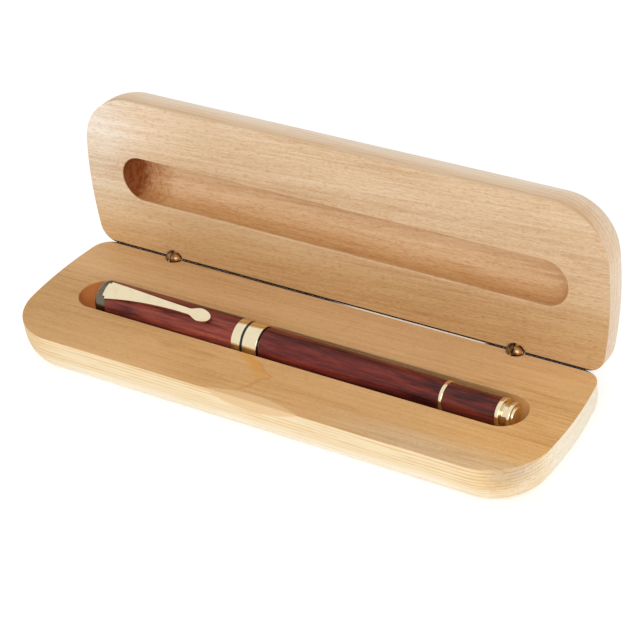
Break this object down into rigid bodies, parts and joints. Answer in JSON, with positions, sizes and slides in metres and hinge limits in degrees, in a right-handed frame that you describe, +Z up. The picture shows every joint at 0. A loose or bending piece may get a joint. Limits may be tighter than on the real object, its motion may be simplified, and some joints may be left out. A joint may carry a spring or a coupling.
{
  "type": "fountain pen case",
  "caption": "Hinged wooden fountain pen case with rounded edges, a routed groove in each half and a capped wooden fountain pen lying in the lower groove.",
  "frame": {"origin": "centre of the base's flat resting face", "axes": "+X along the pen from its cap to its tail, +Y towards the hinges, +Z up"},
  "size_m": [0.175, 0.067, 0.063],
  "materials": {
    "maple": "satin lacquer",
    "rosewood": "gloss lacquer",
    "dark_rosewood": "gloss lacquer",
    "gold_plate": "polished plating",
    "gunmetal": "polished dark plating",
    "antique_brass": "antiqued",
    "brass_tube": "bare turned",
    "black_enamel": "gloss",
    "black_resin": "gloss",
    "nib_steel": "gold plated steel",
    "clear_tube": "clear moulded",
    "seal_rubber": "matte"
  },
  "bodies": {
    "case_base": {"base_block": "maple", "hinge_base_pin_left": "antique_brass", "hinge_base_pin_right": "antique_brass", "hinge_rivet_left": "antique_brass", "hinge_rivet_right": "antique_brass"},
    "case_lid": {"lid_block": "maple", "hinge_lid_pin_left": "antique_brass", "hinge_lid_pin_right": "antique_brass"},
    "pen_cap": {"cap_crown": "gunmetal", "cap_bush": "brass_tube", "cap_sleeve": "rosewood", "cap_liner": "brass_tube", "cap_band": "gold_plate", "band_inlay": "black_enamel"},
    "pen_clip": {"clip": "gold_plate"},
    "barrel_core": {"barrel_liner": "brass_tube"},
    "pen_barrel": {"barrel_sleeve": "rosewood", "barrel_ring": "gold_plate", "tail_sleeve": "dark_rosewood", "tail_finial": "gold_plate", "barrel_bush": "brass_tube", "section": "black_resin", "nib": "nib_steel", "feed": "black_resin", "converter_tube": "clear_tube", "converter_collar": "gold_plate"},
    "filler_knob": {"converter_knob": "black_resin"},
    "filler_piston": {"piston": "seal_rubber", "piston_rod": "black_resin"}
  },
  "joints": [
    {"name": "lid_hinge", "type": "hinge", "parent": "case_base", "child": "case_lid", "pos_m": [0, 0.0249, 0.01335], "axis": [1, 0, 0], "range_deg": [0, 95]},
    {"name": "pen_lift", "type": "slide", "parent": "case_base", "child": "pen_cap", "axis": [0, 0, -1], "range_m": [-0.07, 0]},
    {"name": "clip_flex", "type": "hinge", "parent": "pen_cap", "child": "pen_clip", "pos_m": [-0.0629, -0.00175, 0.01731], "axis": [0, 0.9171, 0.3987], "range_deg": [-3, 0], "stiffness_Nm_per_rad": 0.4},
    {"name": "barrel_advance", "type": "slide", "parent": "pen_cap", "child": "barrel_core", "axis": [1, 0, 0], "range_m": [0, 0.00075]},
    {"name": "barrel_turn", "type": "hinge", "parent": "barrel_core", "child": "pen_barrel", "pos_m": [0, 0.0006, 0.0119], "axis": [1, 0, 0], "range_deg": [0, 360]},
    {"name": "converter_turn", "type": "hinge", "parent": "pen_barrel", "child": "filler_knob", "pos_m": [0, 0.0006, 0.0119], "axis": [1, 0, 0], "range_deg": [0, 1440]},
    {"name": "piston_slide", "type": "slide", "parent": "pen_barrel", "child": "filler_piston", "axis": [1, 0, 0], "range_m": [0, 0.012]}
  ],
  "couplings": [
    {"joint": "barrel_turn", "follows": "barrel_advance", "rad_per_m": 8377.6},
    {"joint": "converter_turn", "follows": "piston_slide", "rad_per_m": 2094.4}
  ]
}
